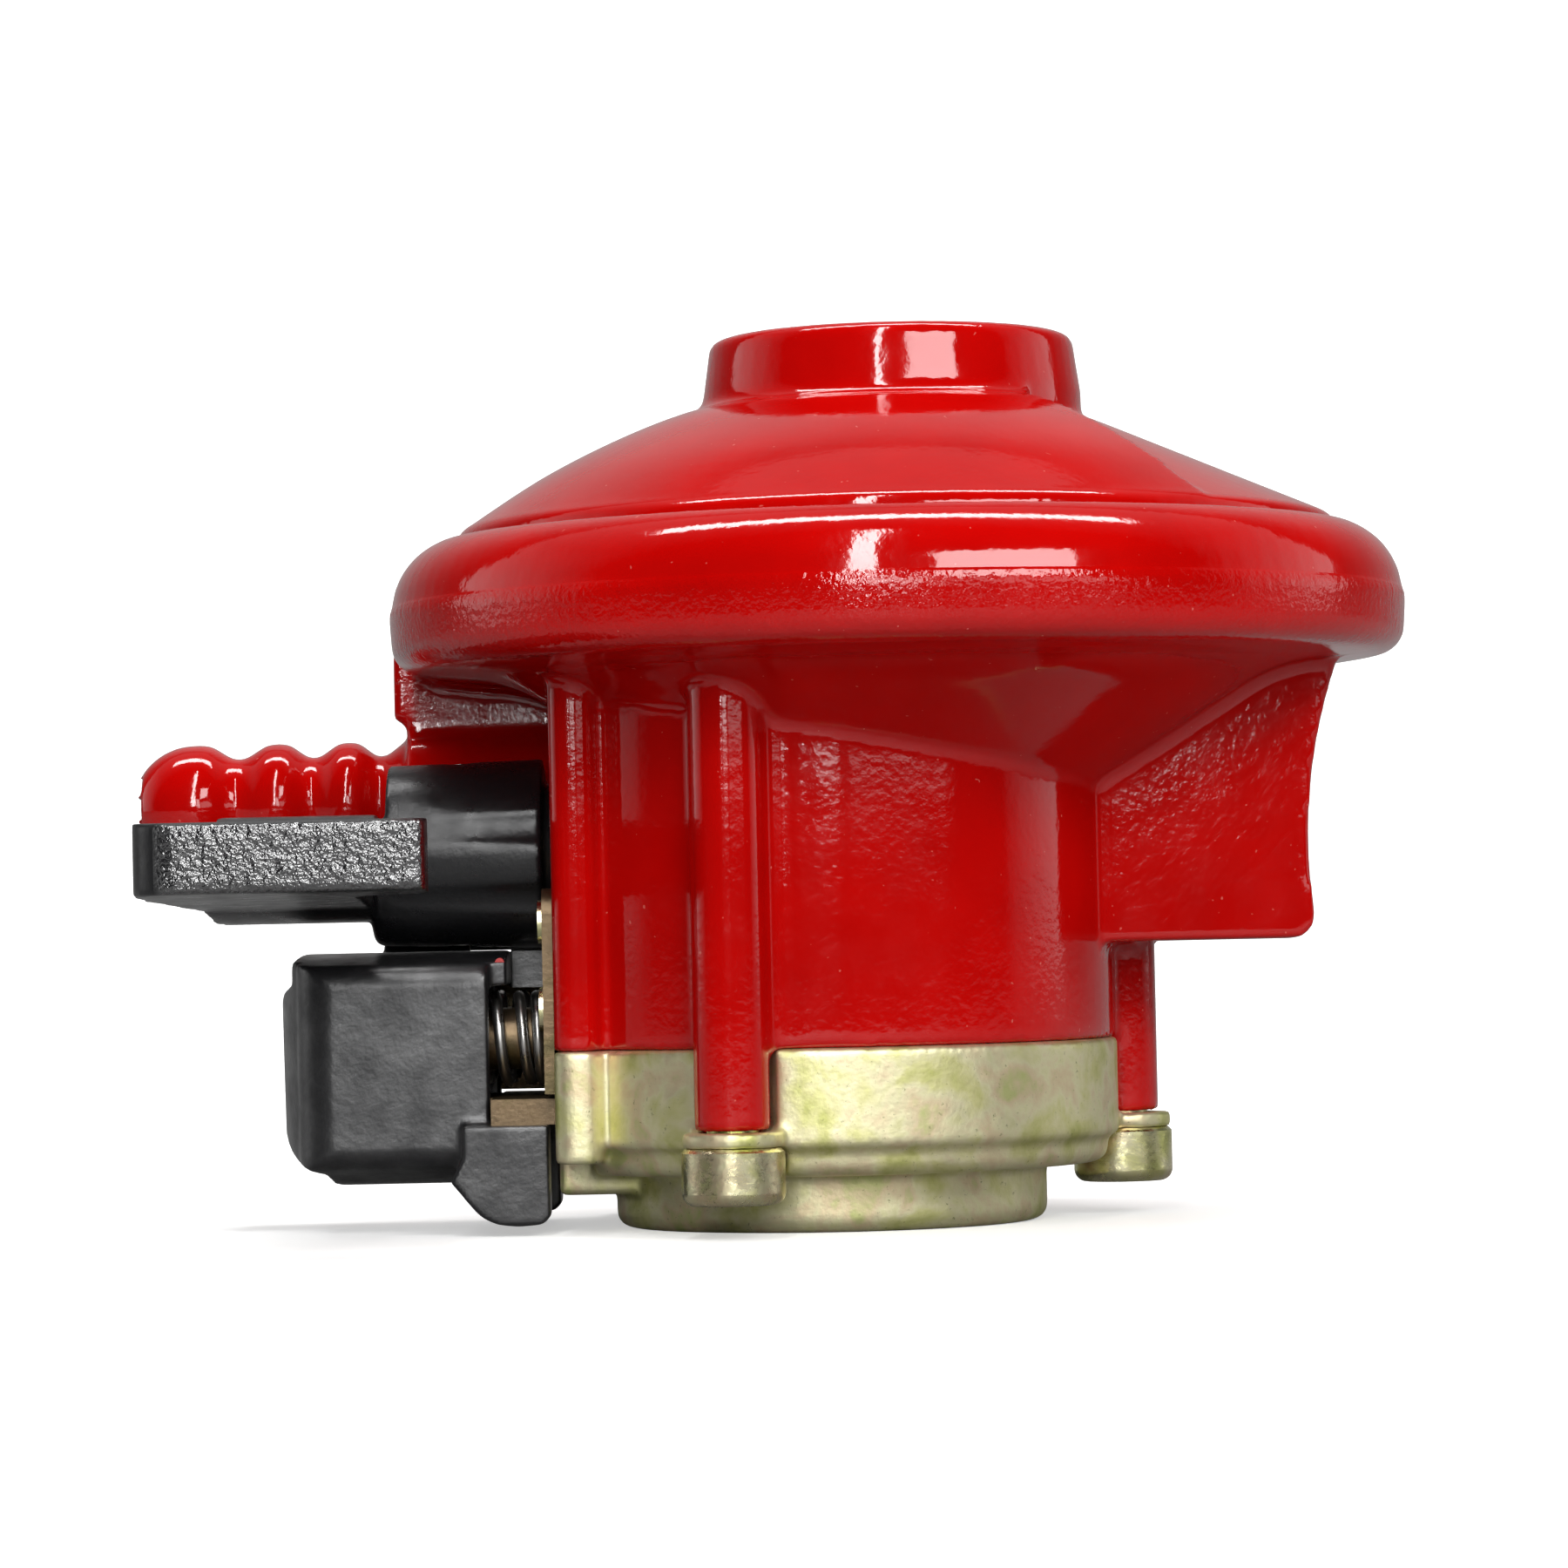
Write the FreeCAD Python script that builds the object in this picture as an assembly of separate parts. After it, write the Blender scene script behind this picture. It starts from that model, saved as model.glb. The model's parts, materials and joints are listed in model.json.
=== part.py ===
import FreeCAD, Part
import math
import os

# Clip-on low-pressure gas regulator for a 27 mm cylinder valve, in millimetres.
# The origin is the centre of the collar's lower face, on the axis of the valve socket.
# +Z is up, -X is the tap and push-button side, and the hose nozzle runs towards -X at +Y.
# Everything is drawn at rest: tap off, latch sprung outwards, no gas pressure.

V = FreeCAD.Vector
X_AXIS = V(1, 0, 0)
Y_AXIS = V(0, 1, 0)
Z_AXIS = V(0, 0, 1)

# ---------------------------------------------------------------- driving dimensions

RUNNING = 0.05            # radial clearance of a running fit

SOCKET_R = 13.7           # socket that drops over the cylinder valve
COLLAR_R = 17.1
COLLAR_TOP = 4.5
BASE_LOW_R = 22.0         # base ring's lower band
BASE_R = 22.9             # base ring's upper wall
BASE_STEP_Z = 6.8
BASE_TOP = 14.3           # joint face between base ring and body casting
BARREL_R = 22.7

FRONT_X = -21.3           # flat mounting face behind the tap and the button
FLANGE_THICK = 3.65
FLANGE_HALF_W = 16.5

DISC_X = 6.1              # axis of the round diaphragm housing
RIM_R = 40.4
CHAMBER_R = 31.5
SEAT_R = 36.85            # pocket that holds the bonnet's flange
LEDGE_Z = 50.6            # ledge that the diaphragm's bead lies on
FLOOR_Z = 37.0            # chamber floor

BOSS_R = 2.9              # screw bosses on the barrel
BOSS_BOTTOM = 8.1
BOSS_PITCH_R = 24.0
BOSS_ANGLES = (-108.4, 11.6, 131.6)
SCREW_R = 2.0
SCREW_HEAD_R = 3.95
SCREW_HEAD_TOP = 6.9
SCREW_HEAD_BOTTOM = 2.6
SCREW_TIP = 24.0

TAP_Z = 29.8              # axis of the tap shaft, along X
SHAFT_R = 4.25
CAM_ECCENTRIC = 2.5
CAM_PIN_R = 1.5
HUB_R = 7.5

PLATE_Z = 8.6             # underside of the locking plate
PLATE_THICK = 2.0
PLATE_HOLE_R = 14.2
PLATE_R = 16.6
PLATE_OFFSET = -2.6       # where the plate's hole stands at rest

RETAINER_THICK = 0.8      # thin plate on the front face
RETAINER_FACE = FRONT_X - RETAINER_THICK
RETAINER_SCREW_R = 1.25
RETAINER_SCREW_TIP = FRONT_X + 2.6
RETAINER_SCREWS = [(side * 12.1, z) for side in (-1, 1) for z in (17.5, 24.3)]

SPRING_Y = 4.2            # the two return springs behind the button
SPRING_Z = 15.2
BUTTON_END = -26.6        # open end of the button, towards the body
BUTTON_TOP = 22.15
TONGUE_END = -25.2        # the button's top wall reaches further on the -Y side
GUIDE_END = -25.5         # block on the retainer plate that guides the button
RIDGE_TOP = 22.9          # ridge on the button and fin on the guide block, under the hub
RIDGE_Y = (4.2, 5.9)
FIN_Y = (6.2, 7.8)

NOZZLE_Y = 14.0
NOZZLE_Z = 34.2
NOZZLE_CREST_R = 5.25
NOZZLE_VALLEY_R = 4.0
NOZZLE_BORE_R = 2.5

PLUNGER_NECK_R = 7.0
PLUNGER_HEAD_R = 9.5
PLUNGER_TIP_R = 4.5

PIVOT_X = -6.0            # pivot of the regulating lever
PIVOT_Z = 42.4
ORIFICE_X = -9.0
ORIFICE_TOP = 38.6
LIFT = 1.6                # stroke of the diaphragm
LEVER_ARM = DISC_X - PIVOT_X
LEVER_TILT = math.degrees(LIFT / LEVER_ARM)

COIL_STEPS = 16           # facets in one turn of a spring, and round its wire
WIRE_SIDES = 8

# ---------------------------------------------------------------- drawing helpers


def path(steps, place):
    """Edges through steps: a pair is a straight line's end, two pairs are an arc's middle
    and end, and a longer tuple of pairs is a smooth curve's further points."""
    edges = []
    here = steps[0]
    for step in steps[1:]:
        if not isinstance(step[0], tuple):
            edges.append(Part.makeLine(place(*here), place(*step)))
            here = step
        elif len(step) == 2:
            edges.append(Part.Arc(place(*here), place(*step[0]), place(*step[1])).toShape())
            here = step[1]
        else:
            curve = Part.BSplineCurve()
            curve.interpolate([place(*point) for point in (here,) + step])
            edges.append(curve.toShape())
            here = step[-1]
    if place(*here).distanceToPoint(place(*steps[0])) > 1e-6:
        edges.append(Part.makeLine(place(*here), place(*steps[0])))
    return edges


def face(steps, place):
    return Part.Face(Part.Wire(path(steps, place)))


def turned(steps, centre_x=0.0):
    """Solid of revolution about the vertical line through centre_x, from (radius, z) steps."""
    outline = face(steps, lambda r, z: V(centre_x + r, 0, z))
    return outline.revolve(V(centre_x, 0, 0), Z_AXIS, 360)


def turned_x(steps, y, z):
    """Solid of revolution about a line along X, from (x, radius) steps."""
    outline = face(steps, lambda x, r: V(x, y, z + r))
    return outline.revolve(V(0, y, z), X_AXIS, 360)


def slab_z(steps, low, high):
    return face(steps, lambda x, y: V(x, y, low)).extrude(V(0, 0, high - low))


def slab_y(steps, low, high):
    return face(steps, lambda x, z: V(x, low, z)).extrude(V(0, high - low, 0))


def slab_x(steps, low, high):
    return face(steps, lambda y, z: V(low, y, z)).extrude(V(high - low, 0, 0))


def box(x_low, x_high, y_low, y_high, z_low, z_high):
    corner = V(x_low, y_low, z_low)
    return Part.makeBox(x_high - x_low, y_high - y_low, z_high - z_low, corner)


def rod_z(radius, x, y, low, high):
    return Part.makeCylinder(radius, high - low, V(x, y, low), Z_AXIS)


def rod_x(radius, low, high, y, z):
    return Part.makeCylinder(radius, high - low, V(low, y, z), X_AXIS)


def rod_y(radius, x, low, high, z):
    return Part.makeCylinder(radius, high - low, V(x, low, z), Y_AXIS)


def tube_z(outer, inner, x, y, low, high):
    return rod_z(outer, x, y, low, high).cut(rod_z(inner, x, y, low - 1, high + 1))


def round_corners(x_low, x_high, half_w, radius):
    """Rectangle in X and Y with its two high-X corners rounded."""
    bend = radius * (1 - math.sqrt(0.5))
    return [
        (x_low, -half_w),
        (x_high - radius, -half_w),
        ((x_high - bend, -half_w + bend), (x_high, -half_w + radius)),
        (x_high, half_w - radius),
        ((x_high - bend, half_w - bend), (x_high - radius, half_w)),
        (x_low, half_w),
    ]


def coil(mean_r, wire_r, length, turns):
    """Compression spring standing on the XY plane, along Z, as a faceted wire."""
    steps = round(COIL_STEPS * turns)
    rings = []
    for i in range(steps + 1):
        turn = 2 * math.pi * turns * i / steps
        height = wire_r + (length - 2 * wire_r) * i / steps
        ring = []
        for side in range(WIRE_SIDES):
            around = 2 * math.pi * side / WIRE_SIDES
            reach = mean_r + wire_r * math.cos(around)
            ring.append(V(reach * math.cos(turn), reach * math.sin(turn),
                          height + wire_r * math.sin(around)))
        rings.append(ring)
    facets = [Part.Face(Part.makePolygon(end + end[:1])) for end in (rings[0], rings[-1])]
    for low, high in zip(rings, rings[1:]):
        for i in range(WIRE_SIDES):
            j = (i + 1) % WIRE_SIDES
            for corners in ((low[i], low[j], high[j]), (low[i], high[j], high[i])):
                facets.append(Part.Face(Part.makePolygon(corners + corners[:1])))
    return Part.makeSolid(Part.makeShell(facets))


def o_ring(major, minor, centre, axis):
    return Part.makeTorus(major, minor, centre, axis)


def flange_block(low, high):
    """Flat mounting flange across the front, rounded on its upright edges."""
    block = box(FRONT_X, FRONT_X + FLANGE_THICK, -FLANGE_HALF_W, FLANGE_HALF_W, low, high)
    return rounded(block, 1.5, lambda e: abs(e.BoundBox.ZLength - (high - low)) < 0.01)


def joined(first, *others):
    return first.fuse(list(others)).removeSplitter()


def rounded(solid, radius, wanted):
    """Solid with the edges that wanted() picks filleted."""
    return solid.makeFillet(radius, [edge for edge in solid.Edges if wanted(edge)])


def export(node, shape):
    shape.exportStep("parts/" + node + ".step")


boss_places = [
    (BOSS_PITCH_R * math.cos(math.radians(a)), BOSS_PITCH_R * math.sin(math.radians(a)))
    for a in BOSS_ANGLES
]

# ---------------------------------------------------------------- body casting

CHAMBER = [
    (0, FLOOR_Z),
    (18.2, FLOOR_Z),
    (24.5, 42.1),
    (27.5, 44.1),
    (CHAMBER_R, 46.2),
    (CHAMBER_R, LEDGE_Z),
    (SEAT_R, LEDGE_Z),
    (SEAT_R, 53.6),
    (35.6, 53.6),
    (35.6, 56.0),
    (0, 56.0),
]

SPIGOT_R = 16.7           # ring below the casting that traps the locking plate
SPIGOT_BOTTOM = PLATE_Z + PLATE_THICK + 0.1
SOCKET_CEILING = 13.0
BUSH_R = 10.4
BUSH_TOP = 14.4
HEAD_BORE_TOP = 24.4
NECK_BORE_TOP = 35.0
SHAFT_COLLAR_R = 6.6
SHAFT_COLLAR_BACK = FRONT_X + 1.5
HUB_SPIGOT_R = 5.4        # end of the lever's hub, through the retainer plate
POST_NEAR = 3.6           # lever posts, either side of the lever
POST_FAR = 5.4
PIN_R = 1.0


def bowl():
    """Outside of the diaphragm housing, with the lip that is rolled over the bonnet."""
    return turned([
        (0, 33.3),
        (15, 33.3),
        ((16.6, 33.8), (17.8, 34.85)),
        (27.5, 41.3),
        ((30.1, 42.8), (33, 43.6)),
        (36.8, 44.0),
        (38.2, 44.2),
        ((39.7, 44.9), (RIM_R - 0.15, 46.3)),
        (RIM_R, 48.8),
        (RIM_R - 0.25, 49.3),
        ((38.55, 53.0), (35.6, 54.67)),
        (0, 54.67),
    ], DISC_X)


def nozzle():
    """Ribbed hose tail cast in one with the body."""

    def dip(start, end):
        """Cosine valley between two crests, as points of a smooth curve."""
        depth = NOZZLE_CREST_R - NOZZLE_VALLEY_R
        middle = NOZZLE_CREST_R - depth / 2
        count = 12
        points = []
        for i in range(1, count + 1):
            turn = 2 * math.pi * i / count
            points.append((start + (end - start) * i / count, middle + depth / 2 * math.cos(turn)))
        return tuple(points)

    land = 0.8
    crests = (-33.9, -38.8, -44.6, -51.1)
    steps = [(-12, 0), (-12, 6.4), (crests[0], 6.4), (crests[0], NOZZLE_CREST_R)]
    here = crests[0]
    for crest in crests[1:]:
        steps.append(dip(here, crest + land / 2))
        steps.append((crest - land / 2, NOZZLE_CREST_R))
        here = crest - land / 2
    half = NOZZLE_CREST_R * math.sqrt(0.5)
    steps.append(((here - half, half), (here - NOZZLE_CREST_R, 0)))
    return turned_x(steps, NOZZLE_Y, NOZZLE_Z)


def nozzle_web():
    return slab_y([
        (-33.9, NOZZLE_Z),
        (-33.9, 40.2),
        ((-34.1, 40.7), (-34.9, 41.0)),
        (-34.9, 46.5),
        (-16.0, 46.5),
        (-16.0, NOZZLE_Z),
    ], NOZZLE_Y - 3.2, NOZZLE_Y + 3.2)


def finger_grip():
    """Hollow wing opposite the button, which the fingers pull against."""
    half_w = 8.0
    side = slab_y([
        (14, 21.8),
        (36.6, 21.8),
        ((37.9, 22.6), (38.2, 24.1)),
        ((37.95, 31.5), (40.5, 43.7)),
        (40.8, 45.5),
        (14, 45.5),
    ], -half_w, half_w)
    plan = slab_z(round_corners(10, 41.5, half_w, 1.6), 20, 50)
    hollow = box(25.0, 35.9, -half_w + 2.4, half_w - 2.4, 20, 36.5)
    return side.common(plan).cut(hollow)


def boss_fillet(angle, side):
    """Concave fillet that runs up the corner between a screw boss and the barrel."""
    radius = 1.3
    reach = BARREL_R + radius
    cosine = reach ** 2 + BOSS_PITCH_R ** 2 - (BOSS_R + radius) ** 2
    turn = math.degrees(math.acos(cosine / (2 * reach * BOSS_PITCH_R)))

    def at(distance, degrees):
        a = math.radians(degrees)
        return distance * math.cos(a), distance * math.sin(a)

    hollow = angle + side * turn
    corner = [at(BARREL_R - 1, angle), at(BOSS_PITCH_R, angle), at(reach, hollow),
              at(BARREL_R - 1, hollow)]
    return slab_z(corner, BASE_TOP, 41.5).cut(rod_z(radius, *at(reach, hollow), 0, 60))


def body_casting():
    flange = flange_block(BASE_TOP, 45.0)
    barrel = rod_z(BARREL_R, 0, 0, BASE_TOP, 42.0).cut(box(FRONT_X - 2, FRONT_X, -9, 9, 0, 60))
    spigot = rod_z(SPIGOT_R, 0, 0, SPIGOT_BOTTOM, BASE_TOP)
    bosses = []
    for x, y in boss_places:
        bosses.append(rod_z(BOSS_R, x, y, BOSS_BOTTOM, 41.5))
        bosses.append(Part.makeSphere(BOSS_R, V(x, y, 41.5)))
    for angle in BOSS_ANGLES:
        bosses += [boss_fillet(angle, side) for side in (-1, 1)]
    solid = joined(bowl(), barrel, flange, spigot, nozzle(), nozzle_web(), finger_grip(), *bosses)

    core = tube_z(20.3, 17.2, 0, 0, BASE_TOP - 1, 28).cut(box(-30, 0, -9.5, 9.5, 0, 60))
    core = core.cut(box(-30, -9, 0, 30, 0, 60))
    solid = solid.cut([core, turned(CHAMBER, DISC_X)])

    for side in (-1, 1):
        near, far = sorted((side * POST_NEAR, side * POST_FAR))
        post = box(PIVOT_X - 2, PIVOT_X + 2, near, far, FLOOR_Z - 0.5, PIVOT_Z)
        crown = rod_y(2.0, PIVOT_X, near, far, PIVOT_Z)
        solid = joined(solid, post, crown)

    tools = [
        rod_z(SOCKET_R, 0, 0, SPIGOT_BOTTOM - 1, SOCKET_CEILING),
        rod_z(BUSH_R, 0, 0, SOCKET_CEILING - 0.5, BUSH_TOP),
        rod_z(PLUNGER_HEAD_R + RUNNING, 0, 0, BUSH_TOP - 0.5, HEAD_BORE_TOP),
        rod_z(PLUNGER_NECK_R + RUNNING, 0, 0, HEAD_BORE_TOP - 0.5, NECK_BORE_TOP),
        rod_x(SHAFT_R + RUNNING, FRONT_X - 1, -5.8, 0, TAP_Z),
        rod_x(SHAFT_COLLAR_R + 0.1, FRONT_X - 1, SHAFT_COLLAR_BACK, 0, TAP_Z),
        box(-10.2, -6.5, -1.2, 1.2, 33.2, NECK_BORE_TOP),
        rod_z(2.2, ORIFICE_X, 0, NECK_BORE_TOP - 0.5, FLOOR_Z + 1),
        rod_x(NOZZLE_BORE_R, -60, -13, NOZZLE_Y, NOZZLE_Z),
        rod_z(NOZZLE_BORE_R, -14, NOZZLE_Y, NOZZLE_Z, 46),
        rod_y(PIN_R, PIVOT_X, -6, 6, PIVOT_Z),
    ]
    for x, y in boss_places:
        tools.append(rod_z(SCREW_R, x, y, 0, SCREW_TIP))
    for y, z in RETAINER_SCREWS:
        tools.append(rod_x(RETAINER_SCREW_R, FRONT_X - 1, RETAINER_SCREW_TIP, y, z))
    return solid.cut(tools)


# ---------------------------------------------------------------- bonnet and what closes it

BORE_R = 12.0             # bore in the bonnet's boss, for the adjusting screw
CAP_SEAT_R = 12.8
CAP_SEAT_Z = 68.0
TOP_Z = 70.3
VENT_ANGLE = 62
VENT_PITCH_R = 27.0
VENT_R = 1.5
VENT_X = DISC_X + VENT_PITCH_R * math.cos(math.radians(VENT_ANGLE))
VENT_Y = VENT_PITCH_R * math.sin(math.radians(VENT_ANGLE))


def bonnet():
    dome = turned([
        (CHAMBER_R, 51.6),
        (SEAT_R - 0.05, 51.6),
        (SEAT_R - 0.05, 53.55),
        (34.95, 53.55),
        (34.9, 54.2),
        ((34.75, 55.05), (34.1, 55.6)),
        ((32.0, 57.0), (28.5, 59.2), (25.0, 61.05), (21.5, 62.65), (18.0, 64.0), (16.4, 64.5)),
        ((15.4, 64.95), (15.05, 65.8)),
        (14.55, 69.3),
        ((14.2, 70.02), (13.5, TOP_Z)),
        (CAP_SEAT_R, TOP_Z),
        (CAP_SEAT_R, CAP_SEAT_Z),
        (BORE_R, CAP_SEAT_Z),
        (BORE_R, 61.0),
        ((16.0, 60.3), (21.0, 58.9), (27.0, 56.0), (31.0, 53.4)),
        (CHAMBER_R, 52.6),
    ], DISC_X)

    # a shallow flat-floored sector on the side away from the tap
    half_angle = 48
    ring = face(
        [(15.08, 63.7), (17.5, 62.7), (35.3, 54.95), (35.3, 67), (15.08, 67)],
        lambda r, z: V(DISC_X + r, 0, z),
    )
    ring.rotate(V(DISC_X, 0, 0), Z_AXIS, -half_angle)
    sector = ring.revolve(V(DISC_X, 0, 0), Z_AXIS, 2 * half_angle)
    vent = rod_z(VENT_R, VENT_X, VENT_Y, 50, 66)
    return dome.cut([sector, vent])


def vent_screen():
    """Sintered disc that keeps insects out of the vent."""
    return rod_z(VENT_R, VENT_X, VENT_Y, 57.2, 58.4)


def tamper_cap():
    cap = rod_z(CAP_SEAT_R - 0.05, DISC_X, 0, CAP_SEAT_Z, 69.5)
    cap = rounded(cap, 0.4, lambda e: e.BoundBox.ZMin > 69.4)
    return cap.cut(box(DISC_X - 4, DISC_X + 4, -0.6, 0.6, 68.9, 70))


def adjusting_screw():
    cup = turned([
        (0, 64.5),
        (10.1, 64.5),
        (10.1, 61.5),
        (BORE_R - 0.07, 61.5),
        (BORE_R - 0.07, 66.5),
        (0, 66.5),
    ], DISC_X)
    hexagon = [
        (DISC_X + 4.5 * math.cos(math.radians(60 * i)), 4.5 * math.sin(math.radians(60 * i)))
        for i in range(6)
    ]
    return cup.cut(slab_z(hexagon, 60, 70))


def diaphragm():
    return turned([
        (2.05, 45.6),
        (21.0, 45.6),
        ((24.0, 46.7), (26.3, 48.9)),
        ((28.2, 50.2), (30.6, LEDGE_Z)),
        (SEAT_R - 0.05, LEDGE_Z),
        (SEAT_R - 0.05, 51.6),
        (30.4, 51.6),
        ((27.7, 51.1), (25.5, 49.6)),
        ((23.5, 47.5), (20.8, 46.5)),
        (2.05, 46.5),
    ], DISC_X)


# ---------------------------------------------------------------- base ring and its fasteners

CAVITY_R = PLATE_R + 0.3
NECK_HALF_W = 12.3
CAVITY_FLOOR = PLATE_Z - 0.1
CLAW_NEAR = 9.0
CLAW_FAR = 13.0
FLANGE_BOTTOM = 5.6
SKIRT_BOTTOM = 2.9
EAR_R = 3.85


def base_ring():
    ring = turned([
        (0, 0),
        (COLLAR_R - 1.2, 0),
        ((COLLAR_R - 0.35, 0.35), (COLLAR_R, 1.2)),
        (COLLAR_R, COLLAR_TOP),
        (BASE_LOW_R - 1.2, COLLAR_TOP),
        ((BASE_LOW_R - 0.35, COLLAR_TOP + 0.35), (BASE_LOW_R, COLLAR_TOP + 1.2)),
        (BASE_LOW_R, BASE_STEP_Z - 0.3),
        (BASE_R, BASE_STEP_Z),
        (BASE_R, BASE_TOP),
        (0, BASE_TOP),
    ])
    flange = flange_block(FLANGE_BOTTOM, BASE_TOP)
    skirt = box(FRONT_X, -14, -CLAW_NEAR + 0.5, CLAW_NEAR - 0.5, SKIRT_BOTTOM, COLLAR_TOP + 1)
    ears = []
    for x, y in boss_places:
        ears.append(rod_z(EAR_R, x, y, SCREW_HEAD_TOP, BOSS_BOTTOM))
    ring = joined(ring, flange, skirt, *ears)

    tools = [
        box(FRONT_X - 2, FRONT_X, -9, 9, 0, BASE_TOP + 1),
        rod_z(SOCKET_R, 0, 0, -1, BASE_TOP + 1),
        rod_z(CAVITY_R, PLATE_OFFSET - 0.3, 0, CAVITY_FLOOR, BASE_TOP + 1),
        rod_z(CAVITY_R, 0.7, 0, CAVITY_FLOOR, BASE_TOP + 1),
        box(PLATE_OFFSET - 0.3, 0.7, -CAVITY_R, CAVITY_R, CAVITY_FLOOR, BASE_TOP + 1),
        box(FRONT_X - 1, -10, -NECK_HALF_W, NECK_HALF_W, CAVITY_FLOOR, BASE_TOP + 1),
    ]
    for side in (-1, 1):
        near, far = sorted((side * (CLAW_NEAR - 0.4), side * (CLAW_FAR + 0.4)))
        tools.append(box(FRONT_X - 1, -18.4, near, far, SKIRT_BOTTOM - 1, PLATE_Z + 0.1))
    for x, y in boss_places:
        tools.append(rod_z(BOSS_R + 0.5, x, y, BOSS_BOTTOM, BASE_TOP + 1))
        tools.append(rod_z(SCREW_HEAD_R + 0.3, x, y, -1, SCREW_HEAD_TOP))
        tools.append(rod_z(SCREW_R + 0.2, x, y, 0, BOSS_BOTTOM + 1))
    return ring.cut(tools)


def base_screws():
    """Three socket-head screws that hold the base ring to the body casting."""
    screws = []
    for x, y in boss_places:
        shank = rod_z(SCREW_R, x, y, SCREW_HEAD_TOP, SCREW_TIP - 1)
        head = turned([
            (0, SCREW_HEAD_BOTTOM),
            (SCREW_HEAD_R - 0.75, SCREW_HEAD_BOTTOM),
            ((SCREW_HEAD_R - 0.25, SCREW_HEAD_BOTTOM + 0.3), (SCREW_HEAD_R, SCREW_HEAD_BOTTOM + 0.9)),
            (SCREW_HEAD_R, SCREW_HEAD_TOP - 0.3),
            (SCREW_HEAD_R - 0.3, SCREW_HEAD_TOP),
            (0, SCREW_HEAD_TOP),
        ])
        head.translate(V(x, y, 0))
        hexagon = [
            (x + 2.1 * math.cos(math.radians(60 * i)), y + 2.1 * math.sin(math.radians(60 * i)))
            for i in range(6)
        ]
        socket = slab_z(hexagon, SCREW_HEAD_BOTTOM - 1, SCREW_HEAD_BOTTOM + 2.2)
        screws.append(joined(head, shank).cut(socket))
    return Part.makeCompound(screws)


def valve_seal_ring():
    return tube_z(SOCKET_R - 0.3, 5.6, 0, 0, 11.7, SOCKET_CEILING)


def guide_bush():
    """Brass bush that guides the plunger's tip and carries its return spring."""
    return tube_z(BUSH_R, PLUNGER_TIP_R + RUNNING, 0, 0, SOCKET_CEILING, BUSH_TOP)


# ---------------------------------------------------------------- gas tap: lever, shaft, plunger

CAM_SIN = CAM_ECCENTRIC * math.sqrt(0.5)
CAM_PIN_Y = CAM_SIN
CAM_PIN_Z = TAP_Z + CAM_SIN
SHAFT_END = -7.6
HUB_END = RETAINER_FACE - 0.2
HUB_TIP = -36.0
LEVER_PIN_X = -29.0


def retainer_plate():
    """Thin steel plate that keeps the tap shaft in and backs the button's springs, with a
    guard folded forwards beside them."""
    corner = 2.0
    bend = corner * (1 - math.sqrt(0.5))
    low, high, half_w = 11.0, 26.9, 14.0
    outline = [
        (-half_w, low),
        (half_w, low),
        (half_w, high - corner),
        ((half_w - bend, high - bend), (half_w - corner, high)),
        (-half_w + corner, high),
        ((-half_w + bend, high - bend), (-half_w, high - corner)),
    ]
    plate = slab_x(outline, RETAINER_FACE, FRONT_X)
    guard = box(-27.6, FRONT_X, 10.2, 10.2 + RETAINER_THICK, PLATE_Z + PLATE_THICK + 0.2, 20.6)
    screw_gap = box(RETAINER_FACE - 0.6, RETAINER_FACE, 10, 12, 15.4, 19.6)
    plate = joined(plate, guard.cut(screw_gap))
    tools = [rod_x(HUB_SPIGOT_R + 0.2, RETAINER_FACE - 1, FRONT_X + 1, 0, TAP_Z)]
    for y, z in RETAINER_SCREWS:
        tools.append(rod_x(RETAINER_SCREW_R, RETAINER_FACE - 1, FRONT_X + 1, y, z))
    return plate.cut(tools)


def retainer_screws():
    screws = []
    for y, z in RETAINER_SCREWS:
        head = rod_x(1.7, RETAINER_FACE - 0.35, RETAINER_FACE, y, z)
        shank = rod_x(RETAINER_SCREW_R, RETAINER_FACE - 0.1, RETAINER_SCREW_TIP, y, z)
        slot = box(RETAINER_FACE - 1, RETAINER_FACE - 0.1, y - 0.25, y + 0.25, z - 2, z + 2)
        screws.append(joined(head, shank).cut(slot))
    return Part.makeCompound(screws)


def button_guide():
    """Block on the retainer plate that stands in a notch of the button's top wall, with a
    fin that reaches out over the button beside its ridge."""
    bottom = SPRING_Z + 3.95
    block = box(GUIDE_END, RETAINER_FACE, 0.6, FIN_Y[1], bottom, BUTTON_TOP - 0.1)
    block = rounded(block, 0.4, lambda e: e.BoundBox.XMax < GUIDE_END + 0.01)
    crown = box(GUIDE_END + 0.1, RETAINER_FACE, 4.5, FIN_Y[1], bottom, RIDGE_TOP)
    fin = box(GUIDE_END - 3.5, RETAINER_FACE, *FIN_Y, BUTTON_TOP, RIDGE_TOP)
    return joined(block, crown, fin)


def spring_guides():
    """Studs on the retainer plate that centre the button's springs."""
    studs = []
    for side in (-1, 1):
        stud = rod_x(2.4, -28.3, RETAINER_FACE, side * SPRING_Y, SPRING_Z)
        studs.append(rounded(stud, 0.5, lambda e: e.BoundBox.XMax < -28.2))
    return Part.makeCompound(studs)


def interlock_pin():
    """Small red pin through the button's tongue."""
    return rod_y(0.35, TONGUE_END - 0.5, -8.2, -6.0, 21.2)


def lever_pin():
    """Cross pin that keys the tap lever to its shaft."""
    return rod_z(1.1, LEVER_PIN_X, 0, TAP_Z - 7.2, TAP_Z + 7.2)


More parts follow.
